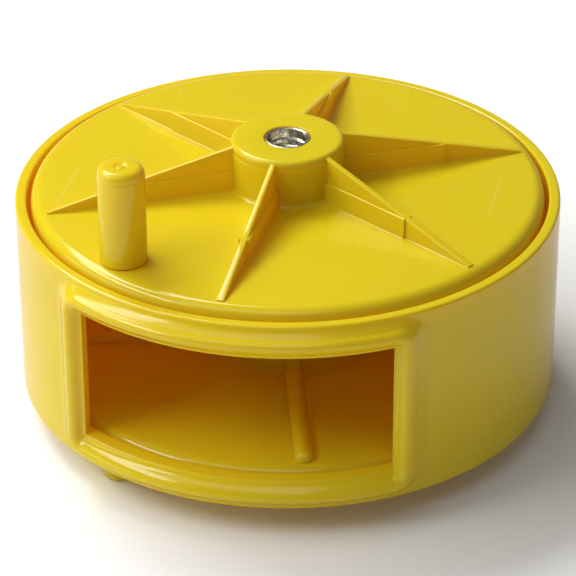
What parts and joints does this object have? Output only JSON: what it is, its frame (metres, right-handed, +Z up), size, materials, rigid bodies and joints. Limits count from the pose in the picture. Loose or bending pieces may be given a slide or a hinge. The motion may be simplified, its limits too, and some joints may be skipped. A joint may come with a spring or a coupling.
{
  "type": "tie wire reel",
  "caption": "Belt-worn moulded reel that holds a coil of soft tie wire and pays it out through a side window, with a screw-on star disc and a winding knob.",
  "frame": {"origin": "centre of the bounding box's bottom face, on the surface that the belt loops stand on; the reel's axis is 2.1 mm behind it", "axes": "+Z up along the reel's axis, -Y out through the wire window, +X to the right seen from the window side"},
  "size_m": [0.178, 0.1822, 0.1107],
  "materials": {
    "yellow_plastic": "glossy injection moulding with faint flow marks and light scuffs",
    "zinc_plated_steel": "bright zinc plate",
    "spring_steel": "oiled spring steel",
    "insert_metal": "turned, plated insert with a bright face",
    "nylon": "natural nylon, satin"
  },
  "bodies": {
    "casing": {"drum_casing": "yellow_plastic", "belt_loop_left": "yellow_plastic", "belt_loop_right": "yellow_plastic", "belt_loop_screw_1": "zinc_plated_steel", "belt_loop_screw_2": "zinc_plated_steel", "belt_loop_screw_3": "zinc_plated_steel", "belt_loop_screw_4": "zinc_plated_steel", "bearing_bush": "nylon"},
    "spool": {"spool": "yellow_plastic", "axle_bolt": "zinc_plated_steel", "head_washer": "zinc_plated_steel", "drag_spring": "spring_steel", "thrust_washer": "nylon", "nut_washer": "zinc_plated_steel", "lock_nut": "zinc_plated_steel"},
    "insert": {"threaded_insert": "insert_metal"},
    "disc": {"star_disc": "yellow_plastic"},
    "knob": {"winding_knob": "yellow_plastic", "knob_washer": "zinc_plated_steel", "knob_screw": "zinc_plated_steel"}
  },
  "joints": [
    {"name": "spool_spin", "type": "hinge", "parent": "casing", "child": "spool", "pos_m": [0, 0.0021, 0], "axis": [0, 0, 1], "continuous": true},
    {"name": "disc_lift", "type": "slide", "parent": "spool", "child": "insert", "axis": [0, 0, 1], "range_m": [0, 0.0186]},
    {"name": "disc_turn", "type": "hinge", "parent": "insert", "child": "disc", "pos_m": [0, 0.0021, 0], "axis": [0, 0, 1], "range_deg": [0, 3420]},
    {"name": "knob_spin", "type": "hinge", "parent": "disc", "child": "knob", "pos_m": [-0.03895, -0.05905, 0.0777], "axis": [0, 0, 1], "continuous": true}
  ],
  "couplings": [
    {"joint": "disc_lift", "follows": "disc_turn", "m_per_rad": 0.00031035}
  ]
}
